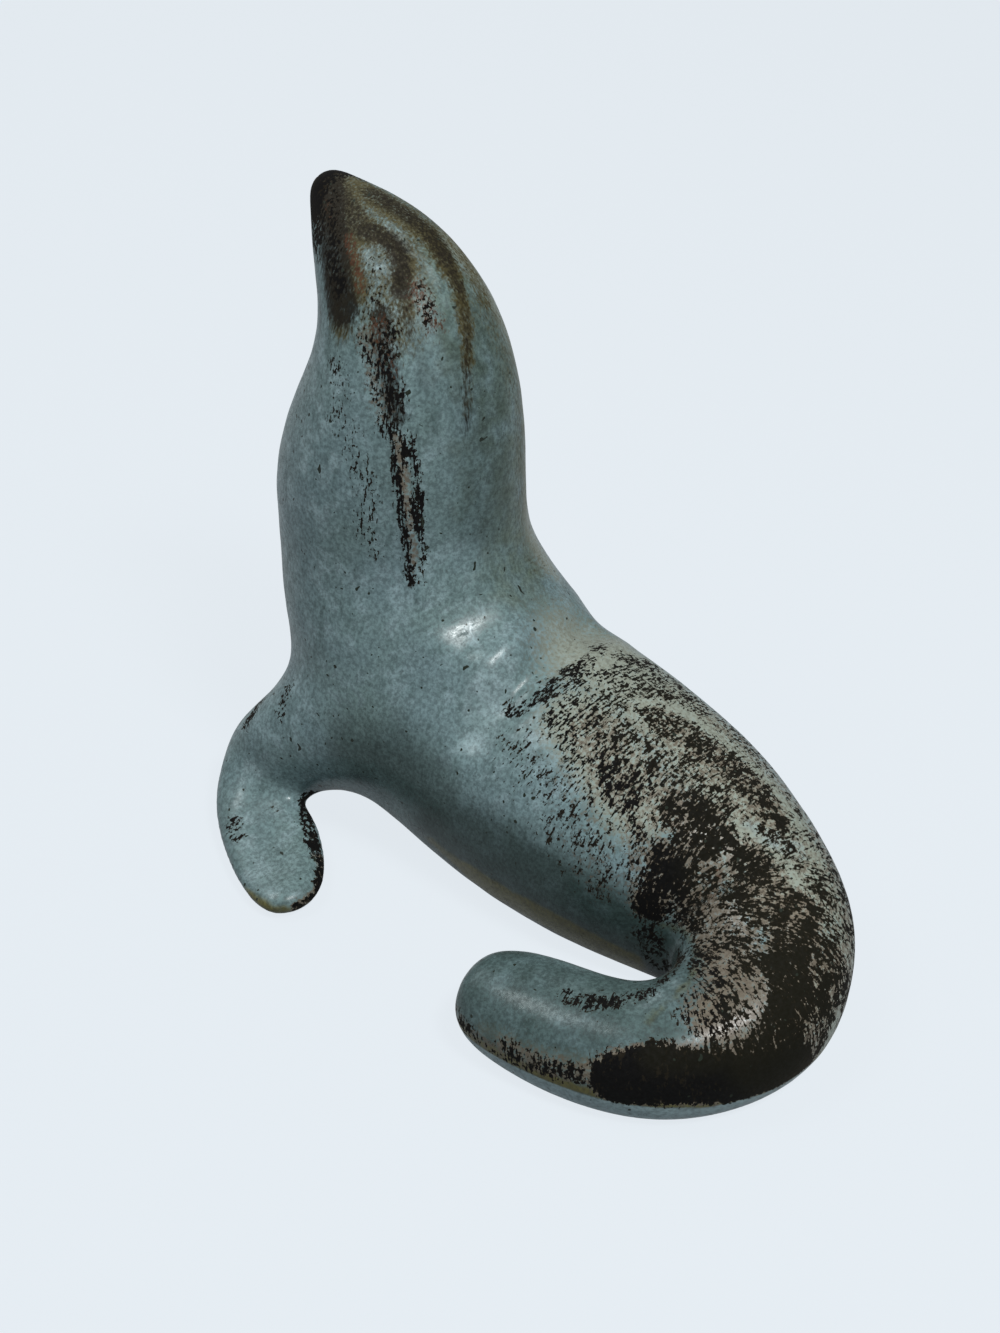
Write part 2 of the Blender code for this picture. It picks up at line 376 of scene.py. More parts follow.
# %% Iron over the rump and round the bend
BEND_IRON = [
    ([(15, 52, 58), (12, 58, 57), (14, 64, 53), (19, 61, 52)], 11, 3.5, 0.88),
    ([(26, 56, 48), (26, 62, 44), (30, 58, 42), (33, 57, 36)], 10, 3.5, 0.86),
    ([(27, 45, 54), (31, 50, 47), (34, 53, 39)], 6, 1.5, 0.54),
    ([(12, 76, 49), (13, 82, 46), (19, 84, 43), (15, 92, 42)], 12, 4.0, 0.80),
    ([(20, 68, 48), (26, 72, 41), (24, 84, 41)], 14, 7, 0.54),
    ([(14, 95, 42), (23, 101, 38), (30, 105, 35), (36, 110, 30), (44, 112, 26), (58, 107, 21)],
     13, 5.0, 0.96),
    ([(30, 72, 36), (34, 82, 36), (41, 95, 34), (52, 95, 31)], 13, 8, 0.52),
    ([(-6, 94, 40), (4, 102, 37), (14, 108, 33)], 11, 4, 0.48),
    ([(14, 108, 30), (22, 112, 27), (30, 115, 22), (34, 117, 14), (42, 117, 9)], 11, 5, 0.76),
    ([(-20, 84, 36), (-10, 98, 28), (6, 110, 20)], 18, 8, 0.56),
]
print(len(BEND_IRON), "strokes of iron round the bend")

# %% Iron on the tail
TAIL_IRON = [
    # the outer side
    ([(80, 84, 18), (77, 88, 20), (72, 94, 21), (67, 101, 20), (60, 107, 18), (50, 112, 16), (40, 115, 13)],
     11, 7, 1.12),
    ([(91, 50, 15), (89, 60, 15), (87, 68, 16), (84, 76, 17)], 5, 1.5, 0.60),
    ([(86, 24, 16), (90, 34, 14), (92, 46, 13), (91, 56, 12)], 4, 1, 0.52),
    # the side by the gap, and the inside of the bend
    ([(73, 59, 29), (72, 62, 30), (70, 67, 30), (66, 71, 30)], 4.0, 1.4, 0.66),
    ([(62, 73, 30), (58, 76, 31), (52, 76, 30)], 3.4, 1, 0.62),
    ([(52, 75, 29), (46, 75, 28), (40, 73, 27), (34, 69, 24)], 3.0, 1, 0.62),
    ([(35, 57, 24), (34, 59, 20), (33, 61, 14)], 6, 2.5, 0.62),
]
print(len(TAIL_IRON), "strokes of iron on the tail")

# %% [markdown]
# ## The head and the flippers
#
# The snout's tip is dark all round, as if it was dipped, and the iron fades back along both edges.
# The flippers show it on their inner edges. What lies on the far side can't be seen from the camera,
# and there the same line mirrored is the plainest guess.

# %% Iron on the head and the flippers
SNOUT_EDGE = [(3, -101, 210), (8, -94, 206), (14, -87, 199), (19, -81, 192), (22, -77, 187)]
FLIPPER_EDGE = [(47, -77, 13), (55, -70, 10), (62, -60, 7), (66, -53, 5), (74, -46, 4), (82, -45, 4)]

HEAD_IRON = [
    (SNOUT_EDGE, 5.5, 1.0, 0.72),
    ([(8, -101, 204), (-6, -101, 204), (0, -104, 207)], 10, 4, 1.10),
    ([(12, -94, 199), (0, -98, 196), (-12, -94, 199)], 12, 3, 0.90),
    (mirrored(SNOUT_EDGE), 6, 2, 0.70),
    ([(15, -68, 195), (16, -66, 191), (19, -64, 187), (21, -64, 182)], 4.5, 1, 0.27),
    ([(10, -56, 190), (10, -53, 186), (11, -49, 180)], 4.5, 1, 0.30),
]
FLIPPER_IRON = [
    (FLIPPER_EDGE, 4.2, 2.0, 0.95),
    (mirrored(FLIPPER_EDGE), 4.2, 2.0, 0.95),
    ([(73, -87, 12), (76, -82, 11)], 4, 1, 0.50),
    ([(47, -87, 60), (47, -85, 52), (50, -84, 46)], 5, 1, 0.36),
    ([(45, -101, 41), (52, -101, 34)], 4, 1, 0.60),
]
print(len(HEAD_IRON) + len(FLIPPER_IRON), "strokes of iron on the head and the flippers")

# %% [markdown]
# The iron is one slip, so all its strokes make one weight, kept off the pale rim and most of the bare
# line. Thick iron is black in some places and olive in others. That is a second weight, because it
# changes the colour and not the cover.

# %% Painting the iron
iron = paint(
    "iron", NECK_IRON + BACK_IRON + BEND_IRON + TAIL_IRON + HEAD_IRON + FLIPPER_IRON,
    but_not=np.maximum(foot_rim, BARE_KEEPS_OFF * bare),
)
# over the back and the outside of the bend thick iron goes olive, and elsewhere black
paint("olive_iron", [
    ([(-4, 29, 69), (-7, 47, 63), (-9, 63, 57), (12, 76, 49), (20, 84, 44)], 26, 12, 0.8),
    ([(14, 95, 42), (30, 107, 35), (44, 114, 26)], 24, 14, 1.0),
    ([(15, 52, 58), (14, 64, 53)], 14, 6, 0.6),
    ([(72, 90, 26), (60, 102, 25)], 8, 2, 0.8),
])

# %% [markdown]
# ## Bare clay
#
# Where the glaze crept back from the iron, the stoneware itself shows, a pinkish grey. On the trunk
# and the tail it follows the iron everywhere, so it needn't be drawn again: the iron's own weight
# is handed on, faded in past the shoulders. Only the places with more clay than iron are strokes.
# Inside the bend the glaze covers everything, so the gap's side is left out.

# %% Bare clay
GAP_SIDE = [(73, 59, 29), (70, 67, 30), (58, 76, 31), (46, 75, 28), (34, 69, 24), (35, 57, 24),
            (33, 61, 14)]
TRUNK_STARTS = (205.0, 260.0)
beside_gap = brush(GAP_SIDE, 9, points, 5)

paint("clay", [
    (BARE_LINE, 2.6, 1.0, 0.80),
    ([(24, -63, 177), (26, -59, 170), (27, -54, 156)], 6.0, 1.0, 0.45),
    ([(20, 66, 50), (26, 70, 42), (32, 70, 34)], 10, 4, 0.75),
    ([(28, 72, 38), (32, 84, 37), (42, 97, 33), (52, 97, 30)], 13, 6, 0.85),
    ([(14, 19, 70), (20, 34, 63), (16, 44, 62)], 14, 5, 0.55),
    ([(-4, 29, 69), (-8, 47, 63), (-8, 66, 56)], 12, 4, 0.50),
    ([(14, 108, 30), (24, 114, 26), (34, 118, 16), (44, 118, 9)], 9, 4, 0.80),
    ([(86, 70, 17), (82, 80, 20), (74, 88, 25), (64, 97, 27), (56, 104, 27)], 5, 1.5, 0.60),
    ([(91, 50, 16), (89, 60, 16), (87, 68, 17), (84, 78, 18)], 6, 1.5, 0.62),
], also=iron * soft(spine_length, *TRUNK_STARTS), but_not=np.maximum(foot_rim, beside_gap))

# %% [markdown]
# ## Thin glaze, and painted light and shade
#
# One glaze gives several greys. Thin over a dry patch it is worn and stony, on the nape it is
# greener, and on the crown it is paler. Light and shade are painted into the colour as well: a pale
# khaki edge down the far side of the neck is a painted reflection, the nape is also darker as painted
# shade, the hump and the saddle's lip are paler round the lamp's shine as a painted highlight, and
# the hollows and the undersides of the flanks are darkened as painted shade. The glaze's greys could
# be worked out from the surface's curvature, but gravity and the potter's hand matter more than
# curvature there, so all of these are wide, faint strokes.

# %% Worn glaze with a painted reflection, and sage glaze with painted shade
paint("worn_and_sheen", [
    ([(-14, 0, 77), (-13, 14, 73), (-10, 40, 65), (-5, 67, 56), (4, 90, 44)], 38, 8, 1.0),
    ([(14, 14, 71), (18, 28, 66), (21, 42, 60)], 22, 6, 0.9),
    ([(90, 44, 16), (88, 64, 17), (82, 80, 20)], 8, 2, 0.7),
    # painted reflection: a pale khaki edge down the far side of the neck, the glaze's shine at its contour
    ([(-16, -62, 192), (-21, -54, 172), (-25, -50, 145), (-26, -46, 112), (-30, -36, 90)], 16, 4, 0.75),
    ([(30, 112, 22), (14, 112, 22), (-2, 106, 24)], 20, 10, 1.0),
])
paint("sage", [
    # on the nape: greener glaze, and darker there as painted shade
    ([(-6, -56, 190), (-3, -46, 176), (-8, -42, 160), (-12, -40, 120), (-14, -36, 100)], 27, 8, 0.70),
    ([(11, -38, 144), (11, -38, 123)], 9, 2, 0.45),
    ([(0, -37, 95), (-8, -28, 90)], 20, 6, 0.6),
    ([(3, 71, 53), (0, 77, 51), (-3, 83, 48)], 9, 4, 0.6),
])

# %% Pale glaze, and a painted highlight glow on the hump and the saddle's lip
PALE_RIM = 0.95
paint("pale", [
    ([(64, 79, 30), (50, 79, 31), (38, 74, 29), (33, 66, 27)], 6, 1, 0.40),
    ([(4, -80, 205), (4, -74, 203), (4, -67, 200), (4, -61, 196), (3, -55, 190), (4, -50, 185)],
     3.6, 1.0, 0.42),
    ([(14, -71, 197), (14, -67, 195), (15, -62, 192)], 4.0, 1.0, 0.40),
    ([(58, -93, 22), (69, -87, 14), (78, -73, 10), (84, -56, 8), (82, -49, 8)], 8, 2, 0.42),
    ([(33, -80, 160), (36, -76, 130), (37, -80, 95), (40, -88, 70)], 24, 6, 0.35),
    ([(3, 71, 53), (0, 77, 51), (-3, 83, 48)], 6, 2, 0.5),
    # painted highlight: a paler glow round the lamp's shine on the hump and on the saddle's lip
    (SHOULDER_HUMP, 16, 4, 0.45),
    ([(18, -18, 79), (28, -14, 72), (34, -12, 64)], 12, 4, 0.6),
], also=PALE_RIM * foot_rim)

# %% Painted shade
paint("painted_shade", [
    # painted shade: darker in the hollows, under the flank, beside the gap inside the bend, round the
    # flipper and down the neck
    ([(45, -50, 44), (45, -36, 48), (45, -26, 42), (43, -14, 34)], 30, 3, 0.85),
    ([(44, -12, 26), (42, 10, 26), (39, 35, 22), (33, 58, 14)], 32, 12, 1.0),
    ([(84, 36, 22), (80, 60, 24), (68, 78, 26), (50, 84, 27)], 26, 16, 0.80),
    ([(24, -78, 188), (27, -72, 178)], 10, 3, 0.5),
    ([(16, -51, 178), (16, -48, 171), (17, -45, 161), (18, -44, 152)], 6.0, 0.8, 0.50),
    ([(7, -39, 158), (9, -38, 144), (11, -38, 133), (11, -38, 120)], 6.0, 0.8, 0.45),
    ([(-2, -44, 176), (0, -40, 160), (2, -38, 140), (2, -37, 118)], 22, 5, 0.62),
    ([(56, -94, 24), (68, -88, 15), (80, -70, 9), (84, -52, 7)], 18, 6, 0.40),
])

# %% [markdown]
# ## Olive edges
#
# Where glaze and iron pool together they turn olive: along the lower edge of the belly, over the
# foot rim, and at the flipper's tip. The belly's edge starts thin behind the flipper and widens
# towards the tail, so it is three strokes that overlap.

# %% Olive edges
OLIVE_RIM = 0.9
paint("olive", [
    ([(48, -46, 26), (46, -32, 22), (44, -18, 17)], 4.0, 0.3, 0.55),
    ([(45, -24, 19), (44, -16, 17), (43, -7, 15)], 6.0, 1.2, 0.75),
    ([(43, -7, 15), (42, 3, 14), (42, 14, 14), (41, 24, 14), (39, 36, 12), (35, 50, 9)], 8.5, 3.5, 1.0),
    ([(31, 60, 30), (31, 66, 30), (33, 72, 31), (38, 79, 33), (48, 83, 33), (57, 83, 32), (66, 82, 30)],
     3.6, 0.3, 0.34),
    ([(91, -70, 4), (90, -58, 4), (86, -48, 3)], 5, 2, 0.7),
], also=OLIVE_RIM * rim_line)

# %% [markdown]
# ## Brown washes on the head
#
# The head carries brown streaks, as a thin iron wash leaves them: a band from the snout over the
# crown and down the neck, a hook on the side of the head, and a haze round both. Such a wash is dark
# in its heart and thin at its sides. So a stroke is made twice, wide in brown and narrow in a darker
# wash, and a touch of rust goes where it burned red.

# %% Brown washes
paint("brown", [
    # the crown and the band down from it
    ([(2, -96, 210), (-1, -84, 208), (-3, -74, 204), (-5, -68, 201)], 12, 3.0, 0.85),
    ([(-4, -69, 202), (-5, -62, 197), (-4, -55, 191)], 7.5, 1.5, 1.0),
    ([(-4, -56, 192), (-2, -50, 185), (1, -45, 177)], 5.2, 0.8, 0.85),
    ([(1, -45, 177), (3, -43, 172), (4, -42, 168)], 4.2, 0.4, 0.72),
    ([(4, -42, 170), (6, -40, 162), (8, -39, 154)], 3.0, 0.2, 0.40),
    ([(0, -95, 204), (0, -80, 200), (2, -70, 195)], 20, 8, 0.45),
    ([(-9, -80, 204), (-14, -70, 197), (-14, -60, 190), (-12, -52, 180)], 9, 3, 0.55),
    # the snout, and the hook on the side of the head
    ([(4, -98, 209), (8, -90, 205), (11, -83, 202), (11, -79, 201)], 10, 4.0, 0.90),
    ([(10, -77, 202), (8, -72, 201), (6, -67, 199), (8, -62, 195), (12, -60, 191)], 6.5, 1.4, 1.0),
    ([(12, -60, 191), (14, -57, 187), (15, -55, 184)], 5.2, 0.8, 0.80),
    ([(14, -80, 200), (17, -76, 196), (19, -72, 192), (21, -69, 188)], 6.5, 1.5, 0.85),
    ([(21, -80, 190), (23, -76, 184), (25, -73, 178)], 8, 1, 0.75),
    ([(8, -66, 196), (12, -62, 188), (17, -60, 180)], 16, 5, 0.56),
    # a faint warm edge down the far side of the neck
    ([(-12, -50, 180), (-17, -44, 160), (-21, -40, 135), (-22, -38, 112), (-23, -32, 95)], 13, 3, 0.28),
])

# %% [markdown]
# The darker wash is the heart of those streaks, and the snout's edge. The same near-black is also
# painted under the belly as painted shade, in two strokes. Rust is only a few short touches, on the
# head, at the top of the neck, over the rump and round the bend. Both could be further strokes of
# brown, but as paints of their own each keeps its colour and its grain.

# %% Dark wash with painted shade under the belly, and rust
paint("dark_wash_and_shade", [
    # painted shade: near-black under the belly, next to the sheet
    ([(45, -34, 10), (43, -22, 7), (41, -10, 4)], 6, 1.0, 0.6),
    ([(41, -10, 4), (39, -2, 3), (36, 20, 3), (35, 34, 3), (32, 47, 2), (30, 58, 2)], 9, 4, 1.0),
    # the snout's edge, and the heart of each brown stroke
    ([(3, -101, 209), (8, -94, 206), (14, -87, 200), (19, -81, 193), (22, -77, 187), (24, -74, 183)],
     10, 3.0, 1.0),
    ([(-2, -84, 208), (-4, -74, 204), (-6, -66, 200), (-5, -58, 194)], 7.5, 1.5, 0.72),
    ([(-5, -58, 194), (-3, -51, 187)], 5.0, 0.8, 0.66),
    ([(-3, -51, 187), (0, -46, 178), (4, -42, 169), (7, -39, 160), (9, -38, 150)], 3.4, 0.3, 0.56),
    ([(10, -77, 202), (8, -71, 201), (7, -66, 198), (10, -62, 193), (13, -59, 189)], 5.5, 1.2, 0.80),
    ([(6, -92, 207), (8, -86, 204), (10, -80, 202)], 8, 2, 0.62),
    ([(13, -59, 189), (15, -56, 184), (16, -53, 178)], 4.2, 0.4, 0.52),
    ([(17, -76, 196), (19, -72, 192)], 4.5, 0.5, 0.40),
    ([(20, -61, 183), (22, -58, 176), (24, -54, 166), (25, -51, 156)], 6.0, 1.2, 0.78),
])
paint("rust", [
    ([(14, -80, 200), (16, -76, 197), (18, -72, 193), (20, -69, 189)], 3.4, 1.0, 0.74),
    ([(5, -99, 207), (12, -88, 202)], 3, 1, 0.5),
    ([(10, -56, 190), (10, -52, 185), (10, -49, 180)], 6, 1, 0.8),
    ([(22, -60, 181), (24, -58, 175), (24, -55, 168)], 7, 1, 0.7),
    ([(13, 70, 51), (17, 71, 48), (22, 71, 44), (26, 70, 39)], 5, 2, 0.7),
    ([(14, 108, 30), (24, 114, 24), (36, 118, 12)], 7, 3, 0.6),
    ([(85, 75, 16), (80, 84, 24), (66, 98, 26)], 4, 1, 0.5),
])

# %% [markdown]
# ## The glaze
#
# A satin stoneware glaze is glass with fine crystals in it: its index of refraction is near that of
# window glass, and its surface is a little rough, so that a lamp leaves a soft bright patch. It
# could be a picture wrapped round the seal, but that needs the skin cut and flattened. Noises in the
# seal's own space have no seams and stay sharp close up. The colour is built in layers: the
# blue-grey with its slow drift, then the painted washes in turn, then a fine mottle over all of
# them, and the iron flecks on top. Every noise is sized by what it stands for.

# %% Colour and node helpers
def linear(hex_colour):
    """An sRGB hex colour as the linear RGBA that Blender's sockets take."""
    channels = [int(hex_colour[k:k + 2], 16) / 255 for k in (1, 3, 5)]
    return [c / 12.92 if c <= 0.04045 else ((c + 0.055) / 1.055) ** 2.4 for c in channels] + [1.0]


def add_node(tree, kind, settings, inputs, give=0):
    """Adds a node with its settings; an input is a value or a socket to link from. Gives one output."""
    made = tree.nodes.new(kind)
    for name, value in settings.items():
        setattr(made, name, value)
    for name, value in inputs.items():
        if isinstance(value, bpy.types.NodeSocket):
            tree.links.new(value, made.inputs[name])
        else:
            made.inputs[name].default_value = value
    return made.outputs[give]


def per_metre(size_mm):
    """The noise scale that gives features of this size."""
    return 1.0 / (size_mm * MM)


GLAZE_BLUE = "#697d84"
GLAZE_GREEN = "#5d716c"
print("blue-grey in linear light:", [round(c, 3) for c in linear(GLAZE_BLUE)])

# %% [markdown]
# The drift is the pour's uneven thickness, and the clouds are pools a finger wide. The seeds are the
# dark crystals that give the glaze its granite look. Real ones are finer than a millimetre, too fine
# to show from here, so they are drawn at 1.3 mm. Clumps and flecks are two sizes of gap over the
# iron. Runs and threads hang down the neck: their space is squeezed along the height, so each comes
# out five times as long as it is wide.
#
# On the back the threads lie across the spine. Their noise has a fourth dimension, the length along
# the spine, and takes only a quarter of the change in place. So it changes fastest along the spine,
# and each thread is four times as long as it is wide.

# %% Noises
glaze = bpy.data.materials.new("satin_stoneware_glaze")
glaze.use_nodes = True
tree = glaze.node_tree
shader = tree.nodes["Principled BSDF"]

place = add_node(tree, "ShaderNodeTexCoord", {}, {}, "Object")
hanging = add_node(tree, "ShaderNodeMapping", {}, {"Vector": place, "Scale": (1.0, 1.0, 1 / 5)})
squeezed = add_node(tree, "ShaderNodeMapping", {}, {"Vector": place, "Scale": (1 / 4, 1 / 4, 1 / 4)})
along_spine = add_node(tree, "ShaderNodeAttribute", {"attribute_name": "along_spine"}, {}, "Fac")
upright = add_node(tree, "ShaderNodeAttribute", {"attribute_name": "upright"}, {}, "Fac")

THREAD_WIDTH = 0.8
noises = {}
# each is a name, a size in mm, how much finer detail it has and how rough that is, and its space
for name, size_mm, detail, rough, where in (
    ("drift", 28.0, 2.0, 0.5, place),
    ("cloud", 7.0, 4.0, 0.60, place),
    ("seeds", 1.3, 3.0, 0.68, place),
    ("clumps", 9.0, 2.0, 0.50, place),
    ("flecks", 1.2, 3.0, 0.65, place),
    ("runs", 3.4, 4.0, 0.62, hanging),
    ("neck_threads", THREAD_WIDTH, 3.0, 0.60, hanging),
):
    noises[name] = add_node(tree, "ShaderNodeTexNoise", {}, {
        "Vector": where, "Scale": per_metre(size_mm), "Detail": detail, "Roughness": rough}, "Fac")
back_threads = add_node(tree, "ShaderNodeTexNoise", {"noise_dimensions": "4D"}, {
    "Vector": squeezed, "W": along_spine, "Scale": per_metre(THREAD_WIDTH),
    "Detail": 3.0, "Roughness": 0.60}, "Fac")
noises["threads"] = add_node(tree, "ShaderNodeMix", {"data_type": "FLOAT"}, {
    0: upright, 2: back_threads, 3: noises["neck_threads"]})
print(len(noises), "noises")

# %% [markdown]
# Every wash goes on the same way: its painted weight, made ragged by a noise, becomes a soft-edged
# mask, and the mask lays one colour over what is there. So the washes are a list, from the bottom up,
# of paint, colour, the noise that frays it, how much it frays, and the weights where it starts and
# is whole. Two more, paler clouds and darker runs, come first and need no paint, because the poured
# glaze has them everywhere.

# %% Washes
MIX_COLOURS = {"data_type": "RGBA"}
SOFT_STEP = {"interpolation_type": "SMOOTHSTEP"}
POUR_COVERS = 0.58
WASH_COVERS = 0.92
NOISE_RANGE = (0.35, 0.65)
PAINTED_FROM = 0.15

colour = add_node(tree, "ShaderNodeMix", MIX_COLOURS, {
    0: noises["drift"], 6: linear(GLAZE_BLUE), 7: linear(GLAZE_GREEN)}, 2)
for noise_name, low, high, over in (("cloud", 0.46, 0.72, "#82969b"), ("runs", 0.50, 0.72, "#485a5a")):
    mask = add_node(tree, "ShaderNodeMapRange", SOFT_STEP, {
        "Value": noises[noise_name], "From Min": low, "From Max": high, "To Max": POUR_COVERS})
    colour = add_node(tree, "ShaderNodeMix", MIX_COLOURS, {0: mask, 6: colour, 7: linear(over)}, 2)

WASHES = [
    # greener glaze, and painted shade on the nape
    ("sage", "#4b5748", "cloud", 0.25, 0.20, 1.15),
    # worn glaze, and the painted reflection down the neck's far edge
    ("worn_and_sheen", "#888d80", "seeds", 0.30, 0.20, 1.05),
    # painted shade
    ("painted_shade", "#2c3b38", "cloud", 0.15, 0.15, 1.15),
    ("brown", "#3f3716", "threads", 0.28, 0.02, 0.86),
    # pale glaze, and the painted highlight glow on the hump
    ("pale", "#84979a", "cloud", 0.20, 0.20, 1.00),
    # dark wash, and painted shade under the belly
    ("dark_wash_and_shade", "#120e07", "threads", 0.25, 0.15, 0.88),
    ("olive", "#5a552b", "cloud", 0.15, 0.10, 0.80),
    ("clay", "#6c6356", "seeds", 0.35, 0.20, 0.90),
    ("rust", "#452a1a", "threads", 0.45, 0.45, 1.10),
]
for paint_name, over, grain, fray, starts, whole in WASHES:
    weight = add_node(tree, "ShaderNodeAttribute", {"attribute_name": paint_name}, {}, "Fac")
    ragged = add_node(tree, "ShaderNodeMapRange", {"clamp": False}, {
        "Value": noises[grain], "From Min": NOISE_RANGE[0], "From Max": NOISE_RANGE[1],
        "To Min": -fray, "To Max": fray})
    ragged = add_node(tree, "ShaderNodeMath", {"operation": "ADD"}, {0: weight, 1: ragged})
    # where nothing is painted nothing shows, however high the noise
    painted = add_node(tree, "ShaderNodeMapRange", {}, {
        "Value": weight, "From Min": 0.0, "From Max": PAINTED_FROM})
    mask = add_node(tree, "ShaderNodeMapRange", SOFT_STEP, {
        "Value": ragged, "From Min": starts, "From Max": whole, "To Max": WASH_COVERS})
    mask = add_node(tree, "ShaderNodeMath", {"operation": "MULTIPLY"}, {0: mask, 1: painted})
    colour = add_node(tree, "ShaderNodeMix", MIX_COLOURS, {0: mask, 6: colour, 7: linear(over)}, 2)
print(len(WASHES), "washes")

# %% [markdown]
# The crystals lie in every layer, so the mottle goes over all of them at once. Mixing in a dark
# colour would grey the browns. Scaling the colour keeps each one's hue: it goes a sixth lighter
# between the crystals and a third darker on them.

# %% Mottle
BETWEEN_CRYSTALS = 1.16
ON_CRYSTALS = 0.68
shade = add_node(tree, "ShaderNodeMapRange", SOFT_STEP, {
    "Value": noises["seeds"], "From Min": 0.36, "From Max": 0.64,
    "To Min": BETWEEN_CRYSTALS, "To Max": ON_CRYSTALS})
colour = add_node(tree, "ShaderNodeVectorMath", {"operation": "SCALE"}, {
    0: colour, "Scale": shade}, "Vector")
print("glaze so far:", len(tree.nodes), "nodes")

# %% [markdown]
# ## Iron through the glaze
#
# An iron slip under a thin glaze breaks through as black flecks with brown edges. Fleck by fleck
# they would be thousands of strokes. Instead the painted weight says how much shows, and a field of
# three noises says where: threads that follow the run of the glaze, flecks about a millimetre wide,
# and clumps near a centimetre. The field is spread so that a weight of a half covers about half of
# the surface.

# %% Iron flecks
FIELD_RANGE = (0.40, 0.60)
IRON_SHOWS_FROM = (0.98, 1.04)
field = add_node(tree, "ShaderNodeMath", {"operation": "MULTIPLY"}, {0: noises["clumps"], 1: 0.20})
for noise_name, share in (("flecks", 0.38), ("threads", 0.42)):
    field = add_node(tree, "ShaderNodeMath", {"operation": "MULTIPLY_ADD"}, {
        0: noises[noise_name], 1: share, 2: field})
field = add_node(tree, "ShaderNodeMapRange", SOFT_STEP, {
    "Value": field, "From Min": FIELD_RANGE[0], "From Max": FIELD_RANGE[1]})
iron_weight = add_node(tree, "ShaderNodeAttribute", {"attribute_name": "iron"}, {}, "Fac")
cover = add_node(tree, "ShaderNodeMath", {"operation": "ADD"}, {0: field, 1: iron_weight})
iron_shows = add_node(tree, "ShaderNodeMapRange", SOFT_STEP, {
    "Value": cover, "From Min": IRON_SHOWS_FROM[0], "From Max": IRON_SHOWS_FROM[1]})
print("iron shows where field and weight together pass", IRON_SHOWS_FROM[0])

# %% [markdown]
# Iron in a glaze is brown where it is thin and black where it is thick. A fleck is thinnest at its
# rim, and there the cover only just passes 1. So the cover itself picks the colour, from brown at the
# rim to black or olive inside, and no second noise is needed.

# %% Colour of the iron
IRON_EDGE = "#1f1a0f"
IRON_BLACK = "#020202"
IRON_OLIVE = "#100f06"
THICK_FROM = (1.0, 1.30)
thick = add_node(tree, "ShaderNodeMapRange", {}, {
    "Value": cover, "From Min": THICK_FROM[0], "From Max": THICK_FROM[1]})
olive_iron = add_node(tree, "ShaderNodeAttribute", {"attribute_name": "olive_iron"}, {}, "Fac")
core = add_node(tree, "ShaderNodeMix", MIX_COLOURS, {
    0: olive_iron, 6: linear(IRON_BLACK), 7: linear(IRON_OLIVE)}, 2)
iron_colour = add_node(tree, "ShaderNodeMix", MIX_COLOURS, {
    0: thick, 6: linear(IRON_EDGE), 7: core}, 2)
colour = add_node(tree, "ShaderNodeMix", MIX_COLOURS, {0: iron_shows, 6: colour, 7: iron_colour}, 2)
print("iron's edge in linear light:", [round(c, 3) for c in linear(IRON_EDGE)])

# %% [markdown]
# Gas that leaves the clay in the kiln bursts through the glaze and leaves pinholes. They could be
# modelled as dents. Real ones are a few tenths of a millimetre wide, too fine for the skin's faces
# and too fine to show, so a few are drawn as dark dots about a millimetre wide: only the highest
# peaks of a smooth noise count.

# %% Pinholes
PINHOLE_COLOUR = "#20261f"
PINHOLE_FIELD = 2.0
pinholes = add_node(tree, "ShaderNodeTexNoise", {}, {
    "Vector": place, "Scale": per_metre(PINHOLE_FIELD), "Detail": 0.0}, "Fac")
pinholes = add_node(tree, "ShaderNodeMapRange", {}, {
    "Value": pinholes, "From Min": 0.80, "From Max": 0.82})
colour = add_node(tree, "ShaderNodeMix", MIX_COLOURS, {
    0: pinholes, 6: colour, 7: linear(PINHOLE_COLOUR)}, 2)
tree.links.new(colour, shader.inputs["Base Color"])
print("colour takes", len(tree.nodes), "nodes")

# %% [markdown]
# A satin glaze mirrors a lamp as a soft patch, and its crystals make it rougher in some places than
# in others. Where the iron breaks through, the surface is starved of glass and nearly matt, and the
# brown washes lie between. So the roughness starts from the crystals' own noise, and iron and brown
# add to it. The index of refraction is that of glass. The mirror's strength is then matched to the
# photograph, and a little warm sheen stands for the haze that a crystalline glaze shows at its
# contours.

# %% Gloss
SATIN_RANGE = (0.15, 0.40)
IRON_DRIER = 0.65
BROWN_DRIER = 0.50
shader.inputs["Metallic"].default_value = 0.0
shader.inputs["IOR"].default_value = 1.5
shader.inputs["Specular IOR Level"].default_value = 0.18
shader.inputs["Sheen Weight"].default_value = 0.03
shader.inputs["Sheen Roughness"].default_value = 0.35
shader.inputs["Sheen Tint"].default_value = linear("#c9b48c")
satin = add_node(tree, "ShaderNodeMapRange", {}, {
    "Value": noises["seeds"], "From Min": 0.3, "From Max": 0.7,
    "To Min": SATIN_RANGE[0], "To Max": SATIN_RANGE[1]})
gloss = add_node(tree, "ShaderNodeMath", {"operation": "MULTIPLY_ADD"}, {
    0: iron_shows, 1: IRON_DRIER, 2: satin})
brown_weight = add_node(tree, "ShaderNodeAttribute", {"attribute_name": "brown"}, {}, "Fac")
gloss = add_node(tree, "ShaderNodeMath", {"operation": "MULTIPLY_ADD"}, {
    0: brown_weight, 1: BROWN_DRIER, 2: gloss})
tree.links.new(gloss, shader.inputs["Roughness"])
print("bare glaze is", SATIN_RANGE[0], "to", SATIN_RANGE[1], "rough, and iron adds", IRON_DRIER)

# %% [markdown]
# The fired surface is smooth to the touch but not flat: its crystals give it a fine orange-peel, and
# the iron lies a few hundredths of a millimetre lower than the glaze beside it. Relief that shallow
# would ask for a far finer mesh, and it never shows in the outline. A bump is enough for it.

